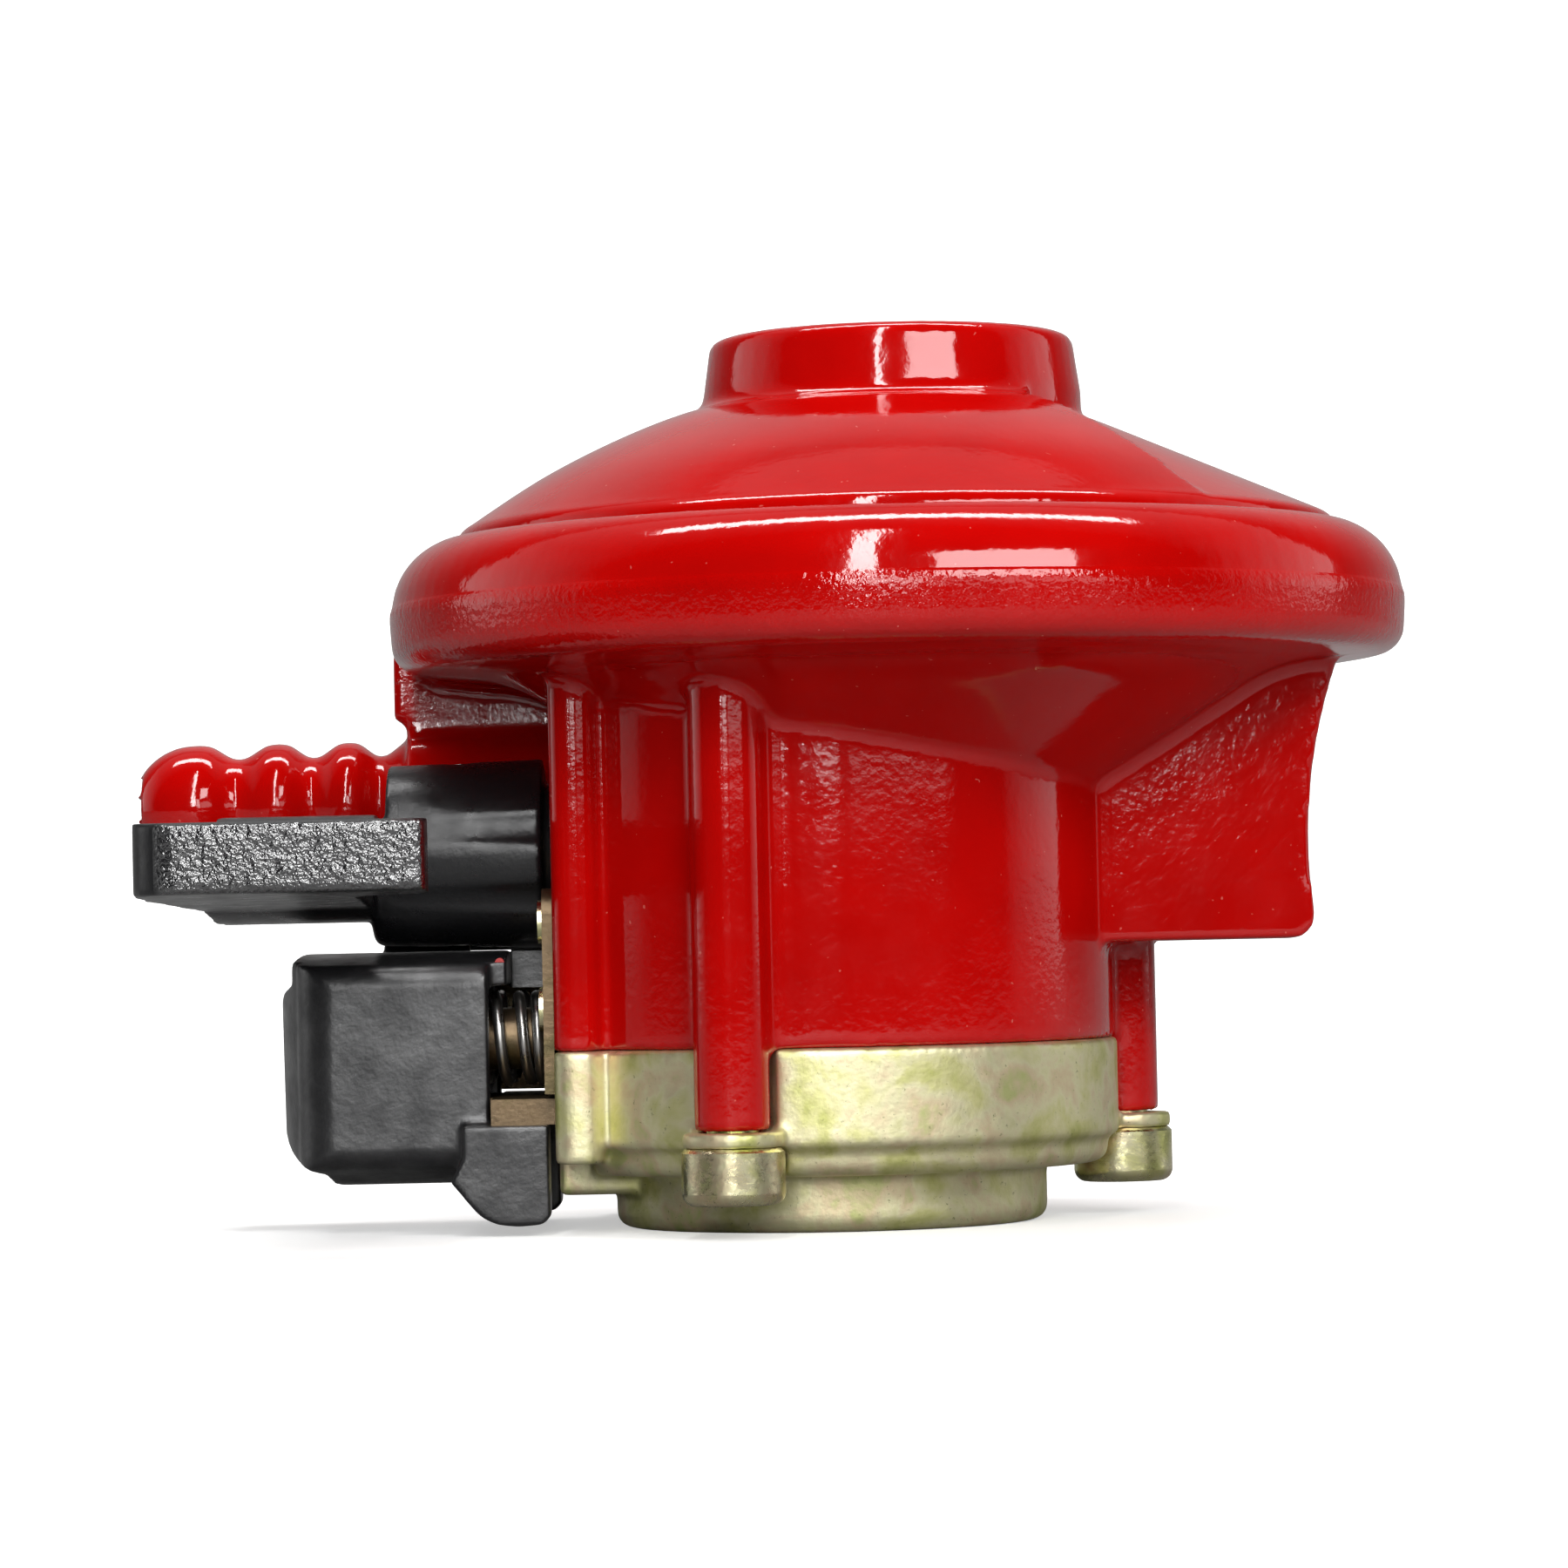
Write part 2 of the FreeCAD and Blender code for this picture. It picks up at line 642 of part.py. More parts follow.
def cam_shaft():
    shaft = rod_x(SHAFT_R, -33.0, SHAFT_END, 0, TAP_Z)
    collar = rod_x(SHAFT_COLLAR_R, FRONT_X + 0.1, SHAFT_COLLAR_BACK - 0.1, 0, TAP_Z)
    pin = rod_x(CAM_PIN_R, SHAFT_END - 1, -1.2, CAM_PIN_Y, CAM_PIN_Z)
    groove = rod_x(SHAFT_R + 1, -15.1, -13.7, 0, TAP_Z).cut(rod_x(3.2, -16, -13, 0, TAP_Z))
    flat = box(-34, HUB_END, -6, 6, TAP_Z + 3.2, TAP_Z + 6)
    return joined(shaft, collar, pin).cut([groove, flat, lever_pin()])


def shaft_o_ring():
    return o_ring(3.75, 0.53, V(-14.4, 0, TAP_Z), X_AXIS)


def tap_lever():
    """Lever and hub in one plastic moulding, pointing towards -Y when the tap is off."""
    tip = -35.5
    plan = slab_z([
        (-48.0, 5.0),
        (-48.3, -7.0),
        ((-50.0, -14.0), (-51.5, -24.0)),
        (-51.5, tip + 3.4),
        ((-50.4, tip + 1.2), (-46.4, tip)),
        (-30.3, tip),
        ((-29.9, tip + 0.2), (-29.7, tip + 0.6)),
        (-29.7, -31.0),
        ((-30.4, -29.6), (-32.2, -28.7)),
        ((-34.6, -26.6), (-35.5, -23.0)),
        (-35.5, 5.0),
    ], 10, 50)
    side = slab_x([
        (tip, 27.4),
        (tip, 31.4),
        ((tip + 0.2, 31.9), (tip + 0.7, 32.1)),
        (-4.0, 32.6),
        ((2.5, 31.9), (5.0, 28.6)),
        ((3.0, 25.6), (-1.0, 24.65)),
        (-5.0, 24.65),
        ((-7.2, 25.0), (-9.0, 25.65)),
        (-19.0, 26.2),
        (tip + 0.7, 26.75),
        ((tip + 0.2, 26.95), (tip, 27.4)),
    ], -60, -20)
    blade = plan.common(side)
    hub = turned_x([
        (HUB_TIP, 0),
        (HUB_TIP, HUB_R - 1.2),
        ((HUB_TIP + 0.25, HUB_R - 0.6), (HUB_TIP + 0.9, HUB_R - 0.35)),
        (HUB_END, HUB_R),
        (HUB_END, HUB_SPIGOT_R),
        (FRONT_X - 0.1, HUB_SPIGOT_R),
        (FRONT_X - 0.1, 0),
    ], 0, TAP_Z)
    hub = hub.cut(box(HUB_TIP - 1, HUB_TIP + 1.4, -8, 8, 32.6, 40))
    flute_r = 3.2
    flute_reach = HUB_R + flute_r - 0.45
    for degrees in (15, -29, 165, 209):
        y = -flute_reach * math.cos(math.radians(degrees))
        z = TAP_Z + flute_reach * math.sin(math.radians(degrees))
        hub = hub.cut(rod_x(flute_r, HUB_TIP + 1.6, HUB_END + 1, y, z))
    lever = joined(blade, hub)
    return lever.cut([cam_shaft(), lever_pin()])


def inlet_plunger():
    """Brass spigot that the cam drives down into the cylinder valve."""
    spigot = turned([
        (1.5, 13.2),
        (2.4, 13.2),
        (2.4, 11.4),
        (3.7, 11.4),
        (PLUNGER_TIP_R, 12.2),
        (PLUNGER_TIP_R, 21.2),
        (PLUNGER_HEAD_R, 21.2),
        (PLUNGER_HEAD_R, 22.0),
        (8.4, 22.0),
        (8.4, 23.3),
        (PLUNGER_HEAD_R, 23.3),
        (PLUNGER_HEAD_R, 24.0),
        (PLUNGER_NECK_R, 24.0),
        (PLUNGER_NECK_R, 34.4),
        (0, 34.4),
        (0, 31.0),
        (1.5, 31.0),
    ])
    half = CAM_PIN_R + 0.1
    slot = box(-8, -0.6, CAM_PIN_Y - half - 0.1, CAM_ECCENTRIC + half + 0.1,
               CAM_PIN_Z - half, CAM_PIN_Z + half)
    return spigot.cut(slot)


def plunger_o_ring():
    return o_ring(8.97, 0.55, V(0, 0, 22.65), Z_AXIS)


def inlet_filter():
    return rod_z(2.4, 0, 0, 11.6, 13.2)


def plunger_spring():
    spring = coil(7.0, 0.6, 6.7, 4)
    spring.translate(V(0, 0, BUSH_TOP + 0.05))
    return spring


# ---------------------------------------------------------------- clip-on latch

BUTTON_PIN_X = -32.0
BUTTON_PIN_Y = 4.5


def button_pins():
    pins = []
    for side in (-1, 1):
        y = side * BUTTON_PIN_Y
        shank = rod_z(1.2, BUTTON_PIN_X, y, 5.6, PLATE_Z + PLATE_THICK + 0.1)
        head = rod_z(2.0, BUTTON_PIN_X, y, PLATE_Z + PLATE_THICK, PLATE_Z + PLATE_THICK + 0.6)
        pins.append(joined(shank, head))
    return Part.makeCompound(pins)


def push_button():
    across = slab_x([
        (-10.0, 7.2),
        (-10.0, 19.4),
        ((-9.6, 20.6), (-8.4, 21.25)),
        ((0, BUTTON_TOP), (8.4, 21.25)),
        ((9.6, 20.6), (10.0, 19.4)),
        (10.0, 7.2),
        ((9.6, 5.8), (8.4, 5.1)),
        ((0, 3.75), (-8.4, 5.1)),
        ((-9.6, 5.8), (-10.0, 7.2)),
    ], -45, TONGUE_END)
    block = slab_y([
        (TONGUE_END, 0),
        (TONGUE_END, 30),
        (-40.9, 30),
        (-40.9, 22.4),
        ((-41.8, 21.9), (-42.15, 20.9)),
        (-42.15, 8.0),
        ((-41.5, 6.0), (-39.5, 4.9)),
        (-39.5, 4.6),
        ((-39.2, 3.9), (-38.6, 3.6)),
        (-38.6, 0),
    ], -20, 20)
    pad = slab_y([
        (-41.0, 19.8),
        (-42.0, 19.6),
        ((-42.95, 19.2), (-43.3, 18.1)),
        (-43.05, 8.1),
        ((-41.9, 6.0), (-39.5, 4.9)),
        (-39.0, 8.0),
    ], -20, 20)
    plan = slab_z([
        (TONGUE_END, -11),
        (-38.4, -11),
        (-38.4, -10.05),
        ((-40.6, -9.2), (-41.7, -7.2)),
        ((-43.4, 0), (-41.7, 7.2)),
        ((-40.6, 9.2), (-38.4, 10.05)),
        (-38.4, 11),
        (TONGUE_END, 11),
    ], 0, 30)
    shell = across.common(block.fuse(pad)).common(plan)
    notch_low = SPRING_Z + 3.85
    shell = shell.cut([
        box(-39.6, TONGUE_END + 1, -8.0, 8.0, PLATE_Z, 19.4),
        box(BUTTON_END, TONGUE_END + 1, -11, -8.25, 0, 30),
        box(BUTTON_END, TONGUE_END + 1, -11, 11, 0, 19.4),
        box(BUTTON_END, TONGUE_END + 1, 0.4, 11, 0, 30),
        box(GUIDE_END - 3.2, TONGUE_END + 1, 0.4, 8.0, notch_low, 30),
    ])
    ridge = box(-35.6, GUIDE_END - 3.2, *RIDGE_Y, 21.0, RIDGE_TOP)
    studs = [rod_x(2.3, -40.3, -31.5, side * SPRING_Y, SPRING_Z) for side in (-1, 1)]

    claws = []
    for side in (-1, 1):
        near, far = sorted((side * CLAW_NEAR, side * CLAW_FAR))
        claws.append(slab_y([
            (BUTTON_END - 0.3, PLATE_Z),
            (-28.2, 7.0),
            (-29.6, 4.3),
            (-28.0, 2.35),
            ((-26.9, 1.35), (-25.4, 0.85)),
            (-24.4, 0.75),
            (-22.9, 0.85),
            ((-22.15, 1.2), (-21.9, 2.1)),
            (-21.9, PLATE_Z),
        ], near, far))
    foot = box(-28.6, BUTTON_END - 0.4, -CLAW_FAR, CLAW_FAR, 5.5, PLATE_Z)
    return joined(shell, ridge, foot, *studs, *claws).cut([button_pins(), interlock_pin()])


def locking_plate():
    """Keyhole plate that grips the groove of the cylinder valve until the button is pushed."""
    ring = rod_z(PLATE_R, PLATE_OFFSET, 0, PLATE_Z, PLATE_Z + PLATE_THICK)
    neck = box(BUTTON_END + 0.2, -10, -12, 12, PLATE_Z, PLATE_Z + PLATE_THICK)
    tongue = box(-37.0, BUTTON_END + 0.5, -7.8, 7.8, PLATE_Z, PLATE_Z + PLATE_THICK)
    hole = rod_z(PLATE_HOLE_R, PLATE_OFFSET, 0, 0, 20)
    return joined(ring, neck, tongue).cut([hole, button_pins()])


def button_springs():
    springs = []
    start, end = -39.55, RETAINER_FACE - 0.05
    for side in (-1, 1):
        spring = coil(3.3, 0.45, end - start, 7)
        spring.rotate(V(0, 0, 0), Y_AXIS, 90)
        spring.translate(V(start, side * SPRING_Y, SPRING_Z))
        springs.append(spring)
    return Part.makeCompound(springs)


# ---------------------------------------------------------------- pressure regulation

WINDOW_Z = PIVOT_Z - LIFT
PLATE_TOP_Z = 47.5
NUT_Z = 51.2


def inlet_orifice():
    """Brass jet screwed into the chamber floor."""
    jet = turned([
        (0.7, NECK_BORE_TOP),
        (2.2, NECK_BORE_TOP),
        (2.2, FLOOR_Z),
        (3.0, FLOOR_Z),
        (3.0, 37.9),
        (1.3, 37.9),
        (1.1, ORIFICE_TOP),
        (0.7, ORIFICE_TOP),
    ])
    jet.translate(V(ORIFICE_X, 0, 0))
    return jet


def pivot_pin():
    return rod_y(PIN_R, PIVOT_X, -POST_FAR, POST_FAR, PIVOT_Z)


def tilted(shape):
    """Lever parts are drawn level, as when the jet is shut, and tilt open at rest."""
    shape.rotate(V(PIVOT_X, 0, PIVOT_Z), Y_AXIS, LEVER_TILT)
    return shape


PAD_R = 2.0
PAD_BOTTOM = ORIFICE_TOP + 0.05
PAD_TOP = 39.8


def valve_pad():
    return tilted(rod_z(PAD_R, ORIFICE_X, 0, PAD_BOTTOM, PAD_TOP))


def regulating_lever():
    arm = box(ORIFICE_X - 2.2, DISC_X, -1.9, 1.9, PIVOT_Z - 0.5, PIVOT_Z + 0.5)
    end = rod_y(0.9, DISC_X, -1.9, 1.9, PIVOT_Z)
    hub = rod_y(1.9, PIVOT_X, -3.4, 3.4, PIVOT_Z)
    holder = rod_z(2.4, ORIFICE_X, 0, 39.2, PIVOT_Z)
    lever = joined(arm, end, hub, holder)
    lever = lever.cut([
        rod_y(PIN_R + RUNNING, PIVOT_X, -6, 6, PIVOT_Z),
        rod_z(PAD_R, ORIFICE_X, 0, 38, PAD_TOP),
    ])
    return tilted(lever)


def diaphragm_stem():
    collar = rod_z(3.4, DISC_X, 0, 43.6, 44.8)
    rod = rod_z(2.0, DISC_X, 0, 44.0, 53.8)
    blade = box(DISC_X - 1.3, DISC_X + 1.3, -3.0, 3.0, 38.6, 44.0)
    window = box(DISC_X - 3, DISC_X + 3, -2.2, 2.2, WINDOW_Z - 1.0, WINDOW_Z + 1.0)
    return joined(collar, rod, blade).cut(window)


def diaphragm_washer():
    return tube_z(7.0, 2.0, DISC_X, 0, 44.8, 45.6)


def diaphragm_plate():
    return turned([
        (2.05, 46.5),
        (19.0, 46.5),
        (20.4, 48.3),
        (19.6, 48.6),
        (18.6, PLATE_TOP_Z),
        (2.05, PLATE_TOP_Z),
    ], DISC_X)


def stem_nut():
    hexagon = [
        (DISC_X + 4.2 * math.cos(math.radians(60 * i)), 4.2 * math.sin(math.radians(60 * i)))
        for i in range(6)
    ]
    return slab_z(hexagon, NUT_Z, NUT_Z + 2.2).cut(rod_z(2.0, DISC_X, 0, 50, 56))


def relief_spring():
    spring = coil(3.2, 0.35, NUT_Z - PLATE_TOP_Z - 0.1, 4)
    spring.translate(V(DISC_X, 0, PLATE_TOP_Z + 0.05))
    return spring


def main_spring():
    spring = coil(9.0, 0.8, 64.5 - PLATE_TOP_Z - 0.1, 6)
    spring.translate(V(DISC_X, 0, PLATE_TOP_Z + 0.05))
    return spring


# ---------------------------------------------------------------- export

PIECES = (
    body_casting, bonnet, vent_screen, tamper_cap, adjusting_screw, diaphragm,
    base_ring, base_screws, valve_seal_ring, guide_bush,
    retainer_plate, retainer_screws, button_guide, spring_guides,
    lever_pin, cam_shaft, shaft_o_ring, tap_lever,
    inlet_plunger, plunger_o_ring, inlet_filter, plunger_spring,
    push_button, button_pins, interlock_pin, locking_plate, button_springs,
    inlet_orifice, pivot_pin, valve_pad, regulating_lever,
    diaphragm_stem, diaphragm_washer, diaphragm_plate, stem_nut, relief_spring, main_spring,
)

os.makedirs("parts", exist_ok=True)
for piece in PIECES:
    export(piece.__name__, piece())
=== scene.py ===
import json
import math

import bpy
from mathutils import Matrix, Vector


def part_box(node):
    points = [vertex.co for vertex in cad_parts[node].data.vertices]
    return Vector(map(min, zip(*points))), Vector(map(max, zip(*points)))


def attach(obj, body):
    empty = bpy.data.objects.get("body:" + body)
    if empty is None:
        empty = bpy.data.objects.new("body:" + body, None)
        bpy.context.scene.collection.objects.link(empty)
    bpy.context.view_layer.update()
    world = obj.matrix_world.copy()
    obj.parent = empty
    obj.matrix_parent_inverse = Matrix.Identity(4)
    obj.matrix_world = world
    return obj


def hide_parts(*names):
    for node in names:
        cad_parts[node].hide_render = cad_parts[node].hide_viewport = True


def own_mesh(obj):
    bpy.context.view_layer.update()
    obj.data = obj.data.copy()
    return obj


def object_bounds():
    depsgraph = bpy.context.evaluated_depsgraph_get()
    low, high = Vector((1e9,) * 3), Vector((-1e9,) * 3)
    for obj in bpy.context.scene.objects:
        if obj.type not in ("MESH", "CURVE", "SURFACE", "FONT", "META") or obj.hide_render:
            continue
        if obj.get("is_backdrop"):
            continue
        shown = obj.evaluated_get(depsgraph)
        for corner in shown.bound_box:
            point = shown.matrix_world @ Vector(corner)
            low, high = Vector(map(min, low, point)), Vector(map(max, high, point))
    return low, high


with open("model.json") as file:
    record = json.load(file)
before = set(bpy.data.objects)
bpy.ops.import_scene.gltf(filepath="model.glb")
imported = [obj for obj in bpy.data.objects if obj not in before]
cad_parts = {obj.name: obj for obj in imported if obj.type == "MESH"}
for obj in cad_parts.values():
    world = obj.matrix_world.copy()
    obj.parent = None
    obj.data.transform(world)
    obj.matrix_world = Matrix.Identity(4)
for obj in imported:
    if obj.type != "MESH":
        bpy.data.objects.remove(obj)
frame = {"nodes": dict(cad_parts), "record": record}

cad_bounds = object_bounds()

MM = 0.001
BLACK = (0.0, 0.0, 0.0)
WHITE = (1.0, 1.0, 1.0)

# sockets of a Mix node set to colours, whose names A, B and Result aren't unique
MIX_FIRST = 6
MIX_SECOND = 7
MIX_RESULT = 2

# ---------------------------------------------------------------- node helpers


def new_material(name):
    """A material with nodes, its shader and an object-space coordinate socket."""
    material = bpy.data.materials.new(name)
    material.use_nodes = True
    nodes = material.node_tree.nodes
    shader = nodes["Principled BSDF"]
    place = nodes.new("ShaderNodeTexCoord").outputs["Object"]
    return material, shader, place


def shader_and_place(material):
    """The shader and the coordinate socket of a material made by new_material."""
    nodes = material.node_tree.nodes
    return nodes["Principled BSDF"], nodes["Texture Coordinate"].outputs["Object"]


def link(material, source, target):
    """Joins an output socket to an input socket."""
    material.node_tree.links.new(source, target)


def noise(material, place, size_mm, detail=2.0, roughness=0.5, distortion=0.0):
    """Noise whose blobs are about size_mm across."""
    node = material.node_tree.nodes.new("ShaderNodeTexNoise")
    node.inputs["Scale"].default_value = 1.0 / (size_mm * MM)
    node.inputs["Detail"].default_value = detail
    node.inputs["Roughness"].default_value = roughness
    node.inputs["Distortion"].default_value = distortion
    link(material, place, node.inputs["Vector"])
    return node.outputs["Fac"]


def ramp(material, factor, stops):
    """Colour ramp through (position, colour) stops."""
    node = material.node_tree.nodes.new("ShaderNodeValToRGB")
    elements = node.color_ramp.elements
    while len(elements) < len(stops):
        elements.new(0.5)
    for element, (position, colour) in zip(elements, stops):
        element.position = position
        element.color = (*colour, 1.0)
    link(material, factor, node.inputs["Fac"])
    return node.outputs["Color"]


def two_tone(material, factor, dark, light):
    """Colour that drifts between two close ones with a noise factor."""
    return ramp(material, factor, [(0.3, dark), (0.7, light)])


def spread(material, factor, low, high, from_low=0.3, from_high=0.7):
    """Maps a noise factor onto a range of values."""
    node = material.node_tree.nodes.new("ShaderNodeMapRange")
    node.inputs["From Min"].default_value = from_low
    node.inputs["From Max"].default_value = from_high
    node.inputs["To Min"].default_value = low
    node.inputs["To Max"].default_value = high
    link(material, factor, node.inputs["Value"])
    return node.outputs["Result"]


def mixed(material, factor, colour, other):
    """Colour that gives way to another, fixed one where factor is high."""
    node = material.node_tree.nodes.new("ShaderNodeMix")
    node.data_type = "RGBA"
    link(material, factor, node.inputs["Factor"])
    link(material, colour, node.inputs[MIX_FIRST])
    node.inputs[MIX_SECOND].default_value = (*other, 1.0)
    return node.outputs[MIX_RESULT]


def product(material, first, second):
    """Product of two values."""
    node = material.node_tree.nodes.new("ShaderNodeMath")
    node.operation = "MULTIPLY"
    link(material, first, node.inputs[0])
    link(material, second, node.inputs[1])
    return node.outputs["Value"]


def coordinate(material, place, axis):
    """One coordinate of place, in metres."""
    separate = material.node_tree.nodes.new("ShaderNodeSeparateXYZ")
    link(material, place, separate.inputs["Vector"])
    return separate.outputs[axis]


def bump(material, height, depth_mm, strength=1.0, under=None):
    """Bump of the given depth, laid over the bump in under."""
    node = material.node_tree.nodes.new("ShaderNodeBump")
    node.inputs["Strength"].default_value = strength
    node.inputs["Distance"].default_value = depth_mm * MM
    link(material, height, node.inputs["Height"])
    if under is not None:
        link(material, under, node.inputs["Normal"])
    return node.outputs["Normal"]


# ---------------------------------------------------------------- materials

# upright band of the housing's rim, and how softly its coarser skin begins and ends
RIM_BAND_LOW = 44.0 * MM
RIM_BAND_HIGH = 49.2 * MM
RIM_BAND_EDGE = 0.2 * MM

# how far behind the lever's end face its pebble starts to fade, and where it is gone
PEBBLE_FULL = 0.2 * MM
PEBBLE_GONE = 0.6 * MM

# colours of the chromate film in order along its ramp
FILM_START = 0.32
FILM_STEP = 0.09
STRAW = (
    (0.54, 0.55, 0.20),
    (0.68, 0.66, 0.32),
    (0.78, 0.74, 0.47),
    (0.74, 0.62, 0.40),
    (0.57, 0.59, 0.26),
)
# a darker copy of the straw film, for sheet parts that sit in shade under the hub and behind the
# button: painted shade
SHADED_STRAW = (
    (0.10, 0.08, 0.04),
    (0.13, 0.10, 0.05),
    (0.17, 0.12, 0.07),
    (0.14, 0.10, 0.06),
    (0.11, 0.09, 0.05),
)


def red_enamel():
    """Thick glossy enamel over a casting: a fine peel that breaks up highlights, a coarser
    skin on the rim's upright band, and a little dust."""
    material, shader, place = new_material("red_enamel")
    shade = noise(material, place, 9.0, detail=3.0)
    colour = two_tone(material, shade, (0.42, 0.0010, 0.0006), (0.50, 0.0016, 0.0010))
    specks = noise(material, place, 0.55, detail=1.0)
    dust = ramp(material, specks, [(0.77, BLACK), (0.81, WHITE)])
    colour = mixed(material, dust, colour, (0.60, 0.10, 0.08))
    link(material, colour, shader.inputs["Base Color"])
    gloss = noise(material, place, 3.0, detail=4.0)
    link(material, spread(material, gloss, 0.06, 0.10), shader.inputs["Roughness"])
    peel = bump(material, noise(material, place, 1.6, detail=1.5), depth_mm=0.016, strength=0.5)
    fine = noise(material, place, 0.60, detail=2.0)
    grain = bump(material, fine, depth_mm=0.019, strength=0.6, under=peel)
    height = coordinate(material, place, "Z")
    above = spread(material, height, 0.0, 1.0, RIM_BAND_LOW, RIM_BAND_LOW + RIM_BAND_EDGE)
    below = spread(material, height, 1.0, 0.0, RIM_BAND_HIGH, RIM_BAND_HIGH + RIM_BAND_EDGE)
    on_band = product(material, above, below)
    skin = product(material, on_band, noise(material, place, 0.45, detail=2.0))
    link(material, bump(material, skin, depth_mm=0.05, under=grain), shader.inputs["Normal"])
    return material


def yellow_chromate(name, film_colours, rough_low, rough_high, metallic):
    """Zinc with a yellow chromate film: mottled in film_colours, with dark pits."""
    material, shader, place = new_material(name)
    film = noise(material, place, 4.5, detail=4.0, roughness=0.55, distortion=0.3)
    stops = [(FILM_START + FILM_STEP * i, colour) for i, colour in enumerate(film_colours)]
    colour = ramp(material, film, stops)
    specks = noise(material, place, 0.45, detail=5.0, roughness=0.7)
    stain = ramp(material, specks, [(0.62, BLACK), (0.74, WHITE)])
    dark = tuple(0.4 * channel for channel in film_colours[0])
    colour = mixed(material, stain, colour, dark)
    link(material, colour, shader.inputs["Base Color"])
    shader.inputs["Metallic"].default_value = metallic
    patch = noise(material, place, 1.5, detail=5.0, roughness=0.6)
    link(material, spread(material, patch, rough_low, rough_high), shader.inputs["Roughness"])
    pits = bump(material, noise(material, place, 0.5, detail=4.0), depth_mm=0.05, strength=0.6)
    link(material, pits, shader.inputs["Normal"])
    return material


def moulded_plastic(name, colour, rough, grain_mm, grain_depth_mm):
    """Moulded plastic with a spark-eroded grain over a faint wave."""
    material, shader, place = new_material(name)
    tone = noise(material, place, 5.0, detail=3.0)
    dark = tuple(channel * 0.8 for channel in colour)
    light = tuple(min(1.0, channel * 1.25) for channel in colour)
    link(material, two_tone(material, tone, dark, light), shader.inputs["Base Color"])
    patch = noise(material, place, 2.0, detail=4.0)
    link(material, spread(material, patch, rough - 0.05, rough + 0.08), shader.inputs["Roughness"])
    wave = bump(material, noise(material, place, 3.0, detail=2.0), depth_mm=0.012, strength=0.5)
    fine = noise(material, place, grain_mm, detail=2.0, roughness=0.55)
    link(material, bump(material, fine, grain_depth_mm, under=wave), shader.inputs["Normal"])
    return material


def pebbled_plastic():
    """Smooth black plastic whose end face, towards -Y, has a coarse glinting pebble."""
    material = moulded_plastic("lever_plastic", (0.007, 0.007, 0.008), 0.30, 0.5, 0.02)
    shader, place = shader_and_place(material)
    face_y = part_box("tap_lever")[0].y
    depth = coordinate(material, place, "Y")
    on_face = spread(material, depth, 1.0, 0.0, face_y + PEBBLE_FULL, face_y + PEBBLE_GONE)
    pebble = product(material, on_face, noise(material, place, 0.55, detail=2.0, roughness=0.6))
    under = shader.inputs["Normal"].links[0].from_socket
    rough_face = bump(material, pebble, depth_mm=0.30, under=under)
    link(material, rough_face, shader.inputs["Normal"])
    link(material, rough_face, shader.inputs["Coat Normal"])
    link(material, on_face, shader.inputs["Coat Weight"])
    shader.inputs["Coat IOR"].default_value = 2.2
    shader.inputs["Coat Roughness"].default_value = 0.15
    return material


def scuffed_plastic():
    """Black plastic with a soft, blotchy sheen."""
    material = moulded_plastic("button_plastic", (0.008, 0.008, 0.009), 0.36, 0.6, 0.03)
    shader, place = shader_and_place(material)
    shader.inputs["Coat IOR"].default_value = 1.7
    blotch = noise(material, place, 3.0, detail=3.0)
    link(material, spread(material, blotch, 0.2, 0.9), shader.inputs["Coat Weight"])
    shader.inputs["Coat Roughness"].default_value = 0.34
    link(material, shader.inputs["Normal"].links[0].from_socket, shader.inputs["Coat Normal"])
    return material


def metal(name, colour, rough, grain_mm=0.5):
    """Bare turned or drawn metal with faint tool texture."""
    material, shader, place = new_material(name)
    tone = noise(material, place, 2.5, detail=3.0)
    dark = tuple(channel * 0.85 for channel in colour)
    link(material, two_tone(material, tone, dark, colour), shader.inputs["Base Color"])
    shader.inputs["Metallic"].default_value = 1.0
    patch = noise(material, place, 1.2, detail=4.0)
    link(material, spread(material, patch, rough, rough + 0.12), shader.inputs["Roughness"])
    tool_marks = noise(material, place, grain_mm, detail=3.0)
    texture = bump(material, tool_marks, depth_mm=0.015, strength=0.5)
    link(material, texture, shader.inputs["Normal"])
    return material


def rubber(name):
    """Matt black rubber."""
    material, shader, place = new_material(name)
    tone = noise(material, place, 1.5, detail=4.0)
    colour = two_tone(material, tone, (0.010, 0.010, 0.010), (0.022, 0.022, 0.021))
    link(material, colour, shader.inputs["Base Color"])
    shader.inputs["Roughness"].default_value = 0.7
    fine = noise(material, place, 0.4, detail=4.0)
    link(material, bump(material, fine, depth_mm=0.02, strength=0.5), shader.inputs["Normal"])
    return material


RED = red_enamel()
ZINC = yellow_chromate("zinc_casting", STRAW, 0.40, 0.54, 0.85)
ZINC_SCREW = yellow_chromate("plated_screw", STRAW, 0.16, 0.34, 1.0)
# the sheet parts take the darkened straw film: painted shade
ZINC_SHEET = yellow_chromate("plated_sheet", SHADED_STRAW, 0.30, 0.45, 0.9)
LEVER_BLACK = pebbled_plastic()
BUTTON_BLACK = scuffed_plastic()
RED_PLASTIC = moulded_plastic("red_plastic", (0.42, 0.010, 0.008), 0.35, 0.4, 0.01)
NYLON = moulded_plastic("white_nylon", (0.70, 0.68, 0.62), 0.45, 0.5, 0.01)
BRASS = metal("turned_brass", (0.70, 0.50, 0.22), 0.22)
SINTERED = metal("sintered_bronze", (0.45, 0.33, 0.18), 0.55, grain_mm=0.25)
STEEL = metal("spring_steel", (0.52, 0.51, 0.49), 0.25)
RUBBER = rubber("black_rubber")

